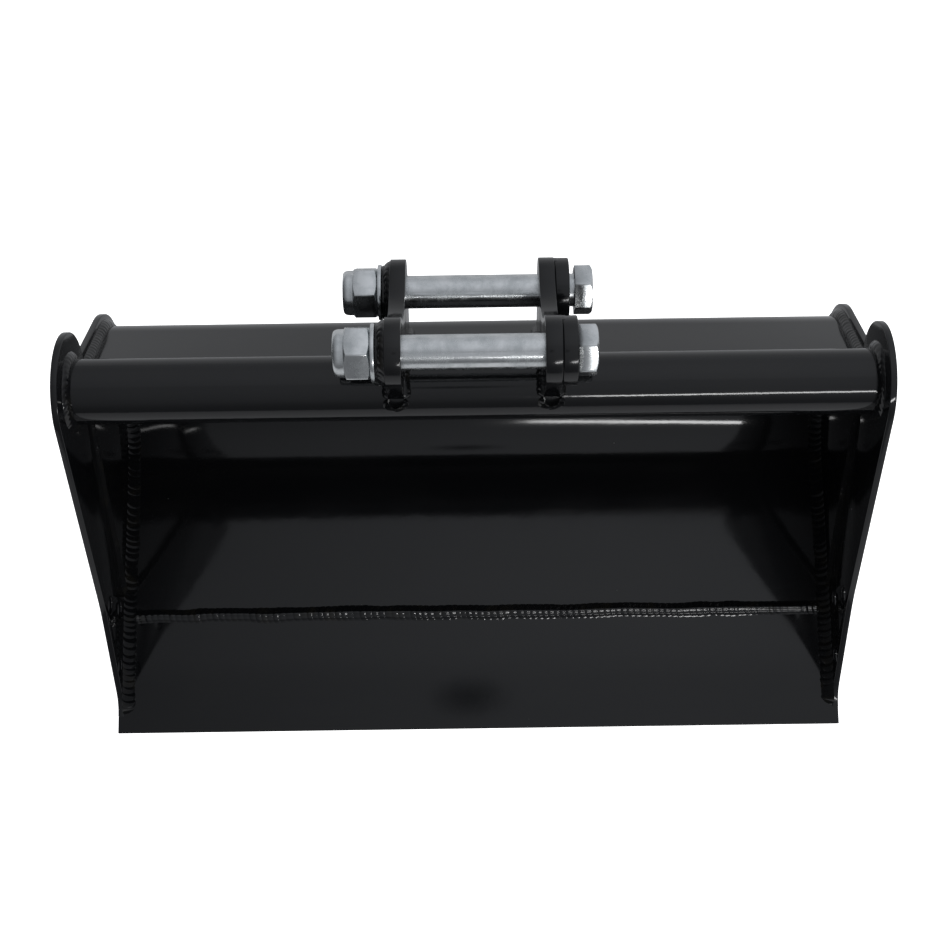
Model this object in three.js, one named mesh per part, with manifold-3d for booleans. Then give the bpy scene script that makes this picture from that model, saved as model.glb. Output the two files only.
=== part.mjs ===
// Ditch-grading bucket for a mini excavator: a welded steel pan with a torsion tube along its top,
// two hanger ears, and the pair of bolted pins that carry it. Millimetres, +Z up.
//
// The bucket lies on its flat bottom, mouth towards -Y. The side profile is drawn in the bucket's own
// Y and Z: Y runs back from the cutting edge, Z runs up from the top of the pan's floor. The last
// group moves that frame so that the origin is under the middle of the whole bucket.
import * as THREE from "three";
import { mergeVertices } from "three/addons/utils/BufferGeometryUtils.js";
import Module from "manifold-3d";

const wasm = await Module();
wasm.setup();

const degree = Math.PI / 180;
const gap = 0.3; // left between faces that touch on the real bucket
const arcSteps = 14; // straight steps in each arc of a profile
const circleSteps = 40; // straight steps round a turned piece

// Pan
const bucketWidth = 600; // over the side plates
const plateThickness = 5;
const lipDepth = 97; // cutting edge, front to back
const lipThickness = 12;
const lipNose = 3; // height of its blunt front
const lipBevel = 26; // depth of the bevel under the nose
const heel = new THREE.Vector2(225.4, 63); // centre of the bend behind the floor
const heelRadius = 70; // inside
const panelAngle = -45 * degree; // outward normal of the straight panel between the bends
const wallBend = new THREE.Vector2(273.4, 79.9); // centre of the bend under the back wall
const wallBendRadius = 48;
const wallAngle = 38.67 * degree; // outward normal of the back wall, above the horizontal

// Torsion tube
const tube = new THREE.Vector2(249.3, 194);
const tubeRadius = 24.15;
const tubeWall = 4;

// Side plates, each a front strip and a rear plate butted along one sloping seam
const toe = new THREE.Vector2(14, gap); // front end of the strip, standing on the cutting edge
const toeRound = [new THREE.Vector2(25, gap + 1), new THREE.Vector2(33, 9)];
const knee = new THREE.Vector2(98, 73); // slight bend in the front edge
const kneeReach = 12.5; // along each edge from the knee to where its curve ends
const tubeLobeRadius = 44; // strip's round end, concentric with the tube
const seamFoot = 112; // where the sloping seam meets the floor
const seamHeadAngle = -88 * degree; // where it meets the round end
const notchAngle = -36.8 * degree; // where the strip and the rear plate part at the top
const sideMargin = 9.7; // rear plate's edge outside the shell
const sideHeel = new THREE.Vector2(261.9, 8); // centre of the rear plate's lower rear corner
const sideHeelRadius = 20;
const sideHoleRadius = 7;
const sideHoles = [new THREE.Vector2(54.9, 19), new THREE.Vector2(101.5, 25), new THREE.Vector2(102.7, 59)];

// Ears and the bosses on their outer faces
const earGap = 100; // between the inner faces
const earThickness = 12;
const earLobeRadius = 25;
const earWaistRadius = 72; // hollow in the upper edge between the two lobes
const earFootAngle = 122 * degree; // front foot, round the tube from the horizontal
const bossLength = { right: 10.5, left: 6 };
const bossRadius = { right: 24.5, left: 20.5 };

// Pins and their nuts
const pinAt = { front: new THREE.Vector2(262.1, 251.1), rear: new THREE.Vector2(329.8, 163.5) };
const pinRadius = 12.5;
const boreRadius = pinRadius + gap;
const threadRadius = 11.9;
const threadFrom = -66; // the shank is full size to here, and threaded beyond
const pinEnd = -97;
const headFlats = 34;
const headLength = 14;
const headStandOff = { front: 0.3, rear: 4 }; // head to boss
const headTurn = { front: 123.9 * degree, rear: 122.4 * degree };
const washerRadius = 21;
const washerThickness = 2.9;
const nutFlats = 36;
const nutHexLength = 18.5;
const nutLength = 26.2;
const nutCollarRadius = 17;
const nutTurn = { front: 136.3 * degree, rear: 140.4 * degree };
const insertRadius = 14.4;
const insertLength = 5;
const chamfer = 1.9; // off the radius at the corners of heads and nuts
const chamferLength = 1.1;

// Weld beads
const bead = 4.6;
const cornerBead = 8; // inside, along floor and shell
const seamBead = { from: 91, to: 102.5, height: 3 };
const outsideFrom = -60 * degree; // where the outside beads begin on the heel bend

const black = () => new THREE.MeshStandardMaterial({ color: 0x0b0c0d, roughness: 0.22, metalness: 0 });
const zinc = () => new THREE.MeshStandardMaterial({ color: 0xb4babd, roughness: 0.36, metalness: 1 });
const nylon = () => new THREE.MeshStandardMaterial({ color: 0xc9d2d6, roughness: 0.5, metalness: 0 });

const wallNormal = new THREE.Vector2(Math.cos(wallAngle), Math.sin(wallAngle));
const wallUp = new THREE.Vector2(-wallNormal.y, wallNormal.x);
const wallOuter = wallBend.dot(wallNormal) + wallBendRadius + plateThickness; // distance along wallNormal
const floorFront = new THREE.Vector2(lipDepth + gap, 0);
const toHeel = heel.clone().sub(floorFront);
const floorFall = Math.atan2(toHeel.x, toHeel.y) - Math.acos(heelRadius / toHeel.length()); // to the rear
const heelFrom = -90 * degree - floorFall;
const inside = bucketWidth / 2 - plateThickness - gap; // half the length of what fits between the sides
const bucket = new THREE.Group();

// The point at an angle round a centre.
function around(centre, radius, angle) {
  return new THREE.Vector2(Math.cos(angle), Math.sin(angle)).multiplyScalar(radius).add(centre);
}

// The upper point where the back wall's offset line crosses a circle round the tube.
function wallMeetsTube(offset, radius) {
  const across = offset - tube.dot(wallNormal);
  const along = -Math.sqrt(radius * radius - across * across);
  return tube.clone().addScaledVector(wallNormal, across).addScaledVector(wallUp, along);
}

// Direction from the tube's centre to a point.
function angleAtTube(point) {
  return Math.atan2(point.y - tube.y, point.x - tube.x);
}

function circlePath(centre, radius) {
  return new THREE.Path().absarc(centre.x, centre.y, radius, 0, 2 * Math.PI, true);
}

// An outline's points without those that repeat the point before, counting the last before the first.
function distinct(points) {
  return points.filter((point, i) => point.distanceTo(points.at(i - 1)) > 0.01);
}

// A profile drawn in Y and Z, extruded along X.
const profileToX = new THREE.Matrix4().makeBasis(
  new THREE.Vector3(0, 1, 0),
  new THREE.Vector3(0, 0, 1),
  new THREE.Vector3(1, 0, 0),
);
function slab(profile, from, to) {
  const outline = distinct(profile.getPoints(arcSteps));
  if (THREE.ShapeUtils.isClockWise(outline)) outline.reverse();
  const shape = new THREE.Shape(outline);
  shape.holes = profile.holes.map((hole) => new THREE.Path(distinct(hole.getPoints(arcSteps * 2))));
  const options = { depth: to - from, bevelEnabled: false, curveSegments: 1 };
  return new THREE.ExtrudeGeometry(shape, options).applyMatrix4(profileToX).translate(from, 0, 0);
}

// A profile of [x, radius] points turned round an axis along X through a point of the side profile.
function turned(points, centre) {
  const profile = points.map(([x, radius]) => new THREE.Vector2(radius, x));
  const geometry = new THREE.LatheGeometry(profile, circleSteps);
  return geometry.rotateZ(-Math.PI / 2).translate(0, centre.x, centre.y);
}

function ring(centre, inner, outer, from, to) {
  return turned([[from, inner], [from, outer], [to, outer], [to, inner], [from, inner]], centre);
}

function hexagon(centre, flats, turn) {
  const corners = [...Array(6).keys()].map((i) => {
    return around(centre, flats / Math.sqrt(3), turn + (i + 0.5) * 60 * degree);
  });
  return new THREE.Shape(corners);
}

function solid(geometry) {
  const bare = geometry.clone().deleteAttribute("normal").deleteAttribute("uv");
  const merged = mergeVertices(bare, 1e-4);
  const vertProperties = merged.attributes.position.array;
  const triVerts = new Uint32Array(merged.index.array);
  return new wasm.Manifold(new wasm.Mesh({ numProp: 3, vertProperties, triVerts }));
}

function geometryOf(manifold) {
  const mesh = manifold.getMesh();
  const geometry = new THREE.BufferGeometry();
  geometry.setAttribute("position", new THREE.BufferAttribute(mesh.vertProperties, 3));
  geometry.setIndex(new THREE.BufferAttribute(mesh.triVerts, 1));
  geometry.computeVertexNormals();
  return geometry;
}

function add(name, geometry, material) {
  const mesh = new THREE.Mesh(geometry, material);
  mesh.name = name;
  bucket.add(mesh);
}

// The same extrusion on both sides: from and to are distances out from the middle.
function addPair(name, shape, from, to) {
  add(name + "_right", slab(shape, from, to), black());
  add(name + "_left", slab(shape, -to, -from), black());
}

// ---- Cutting edge: flat plate with its nose bevelled underneath
function cuttingEdge() {
  const shape = new THREE.Shape();
  shape.moveTo(0, 0);
  shape.lineTo(0, -lipNose);
  shape.lineTo(lipBevel, -lipThickness);
  shape.lineTo(lipDepth, -lipThickness);
  shape.lineTo(lipDepth, 0);
  add("cutting_edge", slab(shape, -bucketWidth / 2, bucketWidth / 2), black());
}

// ---- Shell and what follows its line: floor, heel bend, straight panel, wall bend and back wall
// One line of the section, at a distance inwards from the shell's inner face (negative is outwards).
// It runs through points on the floor, round the heel bend from an angle, and up to the tube.
function shellLine(inwards, clearOfTube, floorY, fromAngle) {
  const floor = floorY.map((y) => new THREE.Vector2(y, inwards));
  const bends = new THREE.Path();
  bends.absarc(heel.x, heel.y, heelRadius - inwards, fromAngle, panelAngle, false);
  bends.absarc(wallBend.x, wallBend.y, wallBendRadius - inwards, panelAngle, wallAngle, false);
  const end = wallMeetsTube(wallOuter - plateThickness - inwards, clearOfTube);
  return [...floor, ...bends.getPoints(arcSteps), end];
}

function shellStrip(inner, outer, clearOfTube, floorY, fromAngle) {
  const innerLine = shellLine(inner, clearOfTube, floorY, fromAngle);
  const outerLine = shellLine(outer, clearOfTube, floorY, fromAngle);
  return new THREE.Shape([...outerLine, ...innerLine.reverse()]);
}

function shell() {
  const shape = shellStrip(0, -plateThickness, tubeRadius + 2 * gap, [floorFront.x], heelFrom);
  add("bucket_shell", slab(shape, -inside, inside), black());
}

// ---- Torsion tube
function torsionTube() {
  add("torsion_tube", ring(tube, tubeRadius - tubeWall, tubeRadius, -inside, inside), black());
}

// ---- Side plates
// Front strip: a curved toe, a front edge with a slight knee, a round end over the tube, a sloping seam.
function sideCutter() {
  const seamHead = around(tube, tubeLobeRadius, seamHeadAngle);
  const below = toeRound[1].clone().sub(knee).setLength(kneeReach).add(knee);
  const toTube = tube.clone().sub(knee);
  const tangent = Math.atan2(toTube.y, toTube.x) + Math.asin(tubeLobeRadius / toTube.length());
  const above = around(knee, kneeReach, tangent);
  const shape = new THREE.Shape();
  shape.moveTo(toe.x, toe.y);
  shape.quadraticCurveTo(toeRound[0].x, toeRound[0].y, toeRound[1].x, toeRound[1].y);
  shape.lineTo(below.x, below.y);
  shape.quadraticCurveTo(knee.x, knee.y, above.x, above.y);
  shape.absarc(tube.x, tube.y, tubeLobeRadius, tangent + Math.PI / 2, seamHeadAngle, true);
  shape.lineTo(seamFoot, gap);
  shape.holes.push(...sideHoles.map((hole) => circlePath(hole, sideHoleRadius)));
  addPair("side_cutter", shape, bucketWidth / 2 - plateThickness, bucketWidth / 2);
  return seamHead;
}

// Rear plate: flat bottom level with the cutting edge's, then a margin outside the shell all round.
function sidePlate(seamHead) {
  const clear = tubeLobeRadius + gap;
  const seam = seamHead.clone().sub(new THREE.Vector2(seamFoot, 0)).normalize();
  const step = new THREE.Vector2(seam.y, -seam.x).multiplyScalar(gap); // square to the seam, backwards
  const head = seamHead.clone().add(step);
  const headAngle = angleAtTube(head);
  const shape = new THREE.Shape();
  shape.moveTo(floorFront.x, 0);
  shape.lineTo(floorFront.x, -lipThickness);
  shape.absarc(sideHeel.x, sideHeel.y, sideHeelRadius, -Math.PI / 2, panelAngle, false);
  const rearRadius = wallBendRadius + plateThickness + sideMargin;
  shape.absarc(wallBend.x, wallBend.y, rearRadius, panelAngle, wallAngle, false);
  shape.absarc(tube.x, tube.y, clear, notchAngle, headAngle, true);
  shape.lineTo(seamFoot + step.x / seam.y, 0);
  addPair("side_plate", shape, bucketWidth / 2 - plateThickness, bucketWidth / 2);
}

// ---- Ears: saddled over the tube and standing on the back wall, a lobe round each pin
function ears() {
  const clear = tubeRadius + gap;
  const foot = around(tube, clear, earFootAngle);
  const toPin = pinAt.front.clone().sub(foot);
  const tangent = Math.atan2(toPin.y, toPin.x) + Math.asin(earLobeRadius / toPin.length());
  const heel = pinAt.rear.clone().addScaledVector(wallUp, -earLobeRadius);
  const heelDown = heel.dot(wallNormal) - wallOuter - gap;
  const heelFoot = heel.clone().addScaledVector(wallNormal, -heelDown);
  const wallEnd = wallMeetsTube(wallOuter + gap, clear);

  // The hollow touches both lobes, so its centre is equally far from both pins.
  const toRear = pinAt.rear.clone().sub(pinAt.front);
  const rearward = Math.atan2(toRear.y, toRear.x);
  const reach = earLobeRadius + earWaistRadius;
  const spread = Math.acos(toRear.length() / 2 / reach);
  const frontTouch = rearward + spread;
  const rearTouch = rearward + Math.PI - spread;
  const hollow = around(pinAt.front, reach, frontTouch);
  const shape = new THREE.Shape();
  shape.moveTo(foot.x, foot.y);
  shape.absarc(pinAt.front.x, pinAt.front.y, earLobeRadius, tangent + Math.PI / 2, frontTouch, true);
  shape.absarc(hollow.x, hollow.y, earWaistRadius, frontTouch + Math.PI, rearTouch + Math.PI, false);
  shape.absarc(pinAt.rear.x, pinAt.rear.y, earLobeRadius, rearTouch, wallAngle - Math.PI / 2, true);
  shape.lineTo(heelFoot.x, heelFoot.y);
  shape.lineTo(wallEnd.x, wallEnd.y);
  shape.absarc(tube.x, tube.y, clear, angleAtTube(wallEnd), earFootAngle, false);
  shape.holes.push(circlePath(pinAt.front, boreRadius), circlePath(pinAt.rear, boreRadius));
  addPair("ear", shape, earGap / 2, earGap / 2 + earThickness);
}

const bossFrom = earGap / 2 + earThickness + gap;
function bosses(place) {
  for (const [side, sign] of [["right", 1], ["left", -1]]) {
    const ends = [sign * bossFrom, sign * (bossFrom + bossLength[side])].sort((a, b) => a - b);
    const boss = ring(pinAt[place], boreRadius, bossRadius[side], ...ends);
    add(place + "_boss_" + side, boss, black());
  }
}

// A turned piece whose widest part is cut to a hexagon; what is narrower than the flats stays round.
function hexTurned(points, centre, flats, turn) {
  const ends = points.map(([x]) => x);
  const bar = slab(hexagon(centre, flats, turn), Math.min(...ends) - 1, Math.max(...ends) + 1);
  return geometryOf(solid(turned(points, centre)).intersect(solid(bar)));
}

// ---- Pins: a bolt with a hexagon head on the right and a thread on the left
function pin(place) {
  const from = bossFrom + bossLength.right + headStandOff[place];
  const to = from + headLength;
  const corner = headFlats / Math.sqrt(3) + gap;
  const profile = [
    [pinEnd, 0],
    [pinEnd, threadRadius - 1],
    [pinEnd + 1, threadRadius],
    [threadFrom, threadRadius],
    [threadFrom + 1, pinRadius],
    [from, pinRadius],
    [from, corner],
    [to - chamferLength, corner],
    [to, corner - chamfer],
    [to, 0],
  ];
  add(place + "_pin", hexTurned(profile, pinAt[place], headFlats, headTurn[place]), zinc());
}

// ---- Lock nut: hexagon with a round collar that holds a nylon ring, and a plain washer behind it
function nut(place) {
  const centre = pinAt[place];
  const washerTo = -(bossFrom + bossLength.left + gap);
  const washerFrom = washerTo - washerThickness;
  const nutTo = washerFrom - gap;
  const hexFrom = nutTo - nutHexLength;
  const nutFrom = nutTo - nutLength;
  const corner = nutFlats / Math.sqrt(3) + gap;
  const bore = threadRadius + gap;
  const pocket = insertRadius + gap;
  const pocketTo = nutFrom + insertLength + gap;
  const profile = [
    [nutFrom, pocket],
    [nutFrom + 0.8, nutCollarRadius - 0.9],
    [nutFrom + 2.6, nutCollarRadius],
    [hexFrom, nutCollarRadius],
    [hexFrom, corner - chamfer],
    [hexFrom + chamferLength, corner],
    [nutTo - chamferLength, corner],
    [nutTo, corner - chamfer],
    [nutTo, bore],
    [pocketTo, bore],
    [pocketTo, pocket],
    [nutFrom, pocket],
  ];
  add(place + "_nut", hexTurned(profile, centre, nutFlats, nutTurn[place]), zinc());
  add(place + "_nut_insert", ring(centre, bore, insertRadius, nutFrom, nutFrom + insertLength), nylon());
  add(place + "_nut_washer", ring(centre, boreRadius, washerRadius, washerFrom, washerTo), zinc());
}

// ---- Weld beads
function welds() {
  const innerFace = bucketWidth / 2 - plateThickness - gap;
  const sideBead = innerFace - bead;
  const floorBead = innerFace - cornerBead;
  const tubeClear = tubeRadius + gap;

  // Across the floor, over the joint of cutting edge and shell
  const across = new THREE.Shape();
  across.moveTo(seamBead.from, gap);
  across.lineTo(seamBead.to, gap);
  across.lineTo(seamBead.to - 1, seamBead.height);
  across.lineTo(seamBead.from + 1, seamBead.height);
  add("lip_seam_weld", slab(across, gap - floorBead, floorBead - gap), black());

  // Shell to side plates, along the corner inside and outside
  const insideCorner = shellStrip(cornerBead, gap, tubeClear + bead + gap, [toe.x, lipDepth], heelFrom);
  const outer = -plateThickness;
  const outsideCorner = shellStrip(outer - gap, outer - bead, tubeClear + bead, [], outsideFrom);
  addPair("shell_weld", insideCorner, floorBead, innerFace);
  addPair("back_wall_weld", outsideCorner, sideBead, innerFace);

  // Round the tube's ends, from the back wall's outer face to its inner face
  const start = angleAtTube(wallMeetsTube(wallOuter + gap, tubeClear));
  const end = angleAtTube(wallMeetsTube(wallOuter - plateThickness - gap, tubeClear));
  const round = new THREE.Shape();
  round.absarc(tube.x, tube.y, tubeClear, start, end, false);
  round.absarc(tube.x, tube.y, tubeClear + bead - gap, end, start, true);
  addPair("tube_weld", round, sideBead, innerFace);

  // Ears to tube and back wall, on their outer faces
  const heel = pinAt.rear.clone().addScaledVector(wallUp, -earLobeRadius);
  const heelLow = heel.addScaledVector(wallNormal, wallOuter + gap - heel.dot(wallNormal));
  const heelHigh = heelLow.clone().addScaledVector(wallNormal, bead);
  const wallEnd = wallMeetsTube(wallOuter + gap, tubeClear);
  const beadEnd = wallMeetsTube(wallOuter + gap + bead, tubeClear + bead);
  const ear = new THREE.Shape();
  ear.moveTo(heelHigh.x, heelHigh.y);
  ear.lineTo(heelLow.x, heelLow.y);
  ear.lineTo(wallEnd.x, wallEnd.y);
  ear.absarc(tube.x, tube.y, tubeClear, angleAtTube(wallEnd), earFootAngle, false);
  ear.absarc(tube.x, tube.y, tubeClear + bead, earFootAngle, angleAtTube(beadEnd), true);
  const earOuter = earGap / 2 + earThickness + gap;
  addPair("ear_weld", ear, earOuter, earOuter + bead);
}

cuttingEdge();
shell();
torsionTube();
sidePlate(sideCutter());
ears();
for (const place of ["front", "rear"]) {
  bosses(place);
  pin(place);
  nut(place);
}
welds();

// Origin under the middle of the whole bucket, on the surface it lies on.
const overallDepth = pinAt.rear.x + earLobeRadius;
bucket.position.set(0, -overallDepth / 2, lipThickness);
const part = new THREE.Group();
part.add(bucket);

export default part;
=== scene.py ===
import math

import bpy
import bmesh
import numpy as np
from mathutils import Matrix, Vector
from mathutils.geometry import tessellate_polygon


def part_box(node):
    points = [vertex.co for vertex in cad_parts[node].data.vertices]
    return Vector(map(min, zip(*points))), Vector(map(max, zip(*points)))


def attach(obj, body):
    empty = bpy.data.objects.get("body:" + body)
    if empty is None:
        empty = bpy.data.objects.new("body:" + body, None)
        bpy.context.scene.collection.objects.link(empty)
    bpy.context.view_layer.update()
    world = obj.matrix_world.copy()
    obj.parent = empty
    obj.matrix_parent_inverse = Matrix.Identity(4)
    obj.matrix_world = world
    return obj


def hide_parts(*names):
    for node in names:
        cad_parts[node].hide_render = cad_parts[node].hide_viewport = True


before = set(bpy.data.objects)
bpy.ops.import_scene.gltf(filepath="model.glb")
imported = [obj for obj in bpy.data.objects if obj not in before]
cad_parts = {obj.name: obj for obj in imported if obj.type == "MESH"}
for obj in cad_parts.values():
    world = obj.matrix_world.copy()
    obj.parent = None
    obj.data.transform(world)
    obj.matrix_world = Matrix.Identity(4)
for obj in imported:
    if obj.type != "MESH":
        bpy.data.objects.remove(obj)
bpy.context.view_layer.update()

# Ditch-grading bucket in gloss black paint, with two zinc-plated pins and lock nuts.
# Lengths are millimetres in the side profile's own axes: x along the tube, y back from the
# cutting edge, z up from the top of the pan's floor. addPiece turns them into the frame's metres.

mm = 0.001
touch = 0.15   # joined pieces reach this far into each other
draws = np.random.default_rng(24)   # every random number comes from here, in order


def cornersMm(node):
    low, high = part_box(node)
    return np.array(low) / mm, np.array(high) / mm


lipLow, lipHigh = cornersMm("cutting_edge")
profileStart = np.array([0.0, lipLow[1], lipHigh[2]])
lipThickness = lipHigh[2] - lipLow[2]
seamY = lipHigh[1] - lipLow[1]   # back edge of the cutting edge
halfWidth = lipHigh[0]
sideIn = halfWidth - 5.0   # inner faces of the side plates


def middleOf(node):   # middle of a node in the side profile
    low, high = cornersMm(node)
    return ((low + high) / 2 - profileStart)[1:]


def reachX(node):   # a node's ends along x
    low, high = cornersMm(node)
    return low[0], high[0]


tubeAt = middleOf("torsion_tube")
tubeLow, tubeHigh = cornersMm("torsion_tube")
tubeRadius = (tubeHigh[2] - tubeLow[2]) / 2
pinAt = {place: middleOf(place + "_boss_right") for place in ("front", "rear")}


# Shapes in the side profile.

def unit(angle):
    return np.array([math.cos(angle), math.sin(angle)])


# Points on a circle from one angle to another, about every two degrees.
def arc(centre, radius, start, end):
    count = max(3, int(abs(end - start) / math.radians(2.0)) + 1)
    angle = np.linspace(start, end, count)
    return np.asarray(centre) + radius * np.stack([np.cos(angle), np.sin(angle)], 1)


# A quadratic curve: (1-t)^2 a + 2t(1-t) b + t^2 c.
def bow(a, b, c, count=9):
    t = np.linspace(0, 1, count)[:, None]
    return (1 - t) ** 2 * np.asarray(a) + 2 * t * (1 - t) * np.asarray(b) + t ** 2 * np.asarray(c)


# One closed outline from several runs of points, without repeats, running anticlockwise.
def outline(*runs):
    points = np.concatenate([np.atleast_2d(run) for run in runs]).astype(float)
    apart = np.linalg.norm(points - np.roll(points, 1, 0), axis=1)
    points = points[apart > 0.02]
    following = np.roll(points, -1, 0)
    area = (points[:, 0] * following[:, 1] - following[:, 0] * points[:, 1]).sum() / 2
    return points if area > 0 else points[::-1]


def roundHole(centre, radius):
    return arc(centre, radius, 0, 2 * math.pi)[:0:-1]   # clockwise


# Each point moves to its left by depth along the mean of its two edges' normals.
def inset(loop, depth):
    def leftNormal(edge):
        normal = np.stack([-edge[:, 1], edge[:, 0]], 1)
        return normal / np.linalg.norm(normal, axis=1)[:, None]
    first = leftNormal(loop - np.roll(loop, 1, 0))
    second = leftNormal(np.roll(loop, -1, 0) - loop)
    share = 1 + (first * second).sum(1)
    return loop + depth * (first + second) / np.maximum(share, 0.25)[:, None]


# Meshes.

# Quads between neighbouring rows and columns of a grid of vertices.
def gridQuads(rows, cols, closeCols=True, closeRows=False):
    i = np.arange(rows if closeRows else rows - 1)[:, None]
    j = np.arange(cols if closeCols else cols - 1)[None, :]
    nextI, nextJ = (i + 1) % rows, (j + 1) % cols
    quads = np.stack([i * cols + j, i * cols + nextJ, nextI * cols + nextJ, nextI * cols + j], -1)
    return quads.reshape(-1, 4)


# A shape of vertices and faces becomes an object that rides on a body. Its third value, if it has one,
# is the first of its flat faces.
def addPiece(name, shape, body, material, stands=(), crease=38.0):
    verts, faces, flatFrom = (*shape, None)[:3]
    mesh = bpy.data.meshes.new(name)
    mesh.from_pydata((np.asarray(verts) + profileStart) * mm, [], faces)
    shaped = bmesh.new()
    shaped.from_mesh(mesh)
    bmesh.ops.recalc_face_normals(shaped, faces=shaped.faces)
    shaped.to_mesh(mesh)
    shaped.free()
    smooth = np.ones(len(mesh.polygons), bool)
    smooth[len(smooth) if flatFrom is None else flatFrom:] = False
    mesh.polygons.foreach_set("use_smooth", smooth)
    mesh.set_sharp_from_angle(angle=math.radians(crease))
    mesh.materials.append(material)
    piece = bpy.data.objects.new(name, mesh)
    bpy.context.scene.collection.objects.link(piece)
    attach(piece, body)
    if stands:
        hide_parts(*stands)
    return piece


# A plate: its outline and holes carried across its thickness, with a quarter-round rim on each face.
def plate(loops, fromX, toX, rim):
    turn = np.linspace(0, math.pi / 2, 4)
    step, sink = rim * (1 - np.cos(turn)), rim * (1 - np.sin(turn))
    xs = np.concatenate([fromX + step, toX - step[::-1]])
    depths = np.concatenate([sink, sink[::-1]])
    verts, faces, near, far, start = [], [], [], [], 0
    for loop in loops:
        rings = np.stack([inset(loop, depth) for depth in depths])
        across = np.broadcast_to(xs[:, None, None], rings.shape[:2] + (1,))
        verts.append(np.concatenate([across, rings], 2).reshape(-1, 3))
        faces += (gridQuads(len(xs), len(loop)) + start).tolist()
        near.append(np.arange(len(loop)) + start)
        far.append(near[-1] + (len(xs) - 1) * len(loop))
        start += len(xs) * len(loop)
    verts = np.concatenate(verts)
    flatFrom = len(faces)
    for ends in (near, far):
        index = np.concatenate(ends)
        corners = [[Vector((verts[k][1], verts[k][2], 0)) for k in end] for end in ends]
        faces += index[np.array(tessellate_polygon(corners))].tolist()
    return verts, faces, flatFrom


# A surface of revolution about an axis along x. x and radius hold one row for each station; radius
# may differ round the row, which makes hexagons and threads. Open ends get flat caps.
def turnedSurface(x, radius, centre, closed):
    steps = radius.shape[1]
    angle = np.arange(steps) * 2 * math.pi / steps
    verts = np.stack([
        np.broadcast_to(x, radius.shape),
        centre[0] + radius * np.cos(angle),
        centre[1] + radius * np.sin(angle)], -1).reshape(-1, 3)
    faces = gridQuads(len(x), steps, True, closed).tolist()
    flatFrom = len(faces)
    if not closed:
        faces += [list(range(steps)), list(range((len(x) - 1) * steps, len(x) * steps))]
    return verts, faces, flatFrom


# Stations as (x, radius) pairs spread round the circle; either may already vary round it.
def stations(pairs, steps):
    x = np.stack([np.broadcast_to(pair[0], steps) for pair in pairs])
    radius = np.stack([np.broadcast_to(pair[1], steps) for pair in pairs])
    return x, radius


# Distance from the axis to a hexagon's side in each direction. The three pairs of flats are joined
# by a power mean, which rounds the corners a little.
def hexagonRadius(flats, turn, steps):
    angle = np.arange(steps) * 2 * math.pi / steps
    sides = np.abs(np.cos(angle[:, None] - turn - np.array([0, 1, 2]) * math.pi / 3))
    return flats / 2 / (sides ** 70).sum(1) ** (1 / 70)


# Weld beads.

# Points along a path at even steps, with the distance of each from the start.
def evenly(path, step):
    path = np.asarray(path, float)
    length = np.concatenate([[0], np.linalg.norm(np.diff(path, axis=0), axis=1).cumsum()])
    along = np.linspace(0, length[-1], max(8, int(length[-1] / step)))
    return np.stack([np.interp(along, length, path[:, k]) for k in range(path.shape[1])], 1), along


# Slow random wander between -1 and 1 along a distance, smooth between knots.
def wander(along, spacing):
    knots = draws.uniform(-1, 1, int(along[-1] / spacing) + 4)
    place = along / spacing
    low = place.astype(int)
    t = place - low
    t = t * t * (3 - 2 * t)
    return knots[low] * (1 - t) + knots[low + 1] * t


# Cross-sections of a bead, as shares of its two legs. A fillet's goes from one plate to the other as
# (cos^p, sin^p), which is round for p = 1, flat for 2 and hollow above. A cap's is a half ellipse.
def filletSection(count, power):
    turn = np.linspace(0.02, math.pi / 2 - 0.02, count)
    return np.cos(turn) ** power, np.sin(turn) ** power


def capSection(count):
    turn = np.linspace(0, math.pi, count)
    return np.cos(turn), np.sin(turn) ** 0.8


# From the back: a steep face, a crest, a ledge and a short front slope, joined and smoothed.
def seamSection(count):
    across = np.linspace(1, -1, count)
    place = (-1.0, -0.75, -0.55, -0.40, -0.22, 0.05, 0.22, 0.85, 1.0)
    height = (0.0, 0.22, 0.58, 0.62, 0.72, 1.0, 0.95, 0.12, 0.0)
    raised = np.interp(across, place, height)
    for _ in range(2):
        raised[1:-1] = (raised[:-2] + 2 * raised[1:-1] + raised[2:]) / 4
    return across, raised


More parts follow.
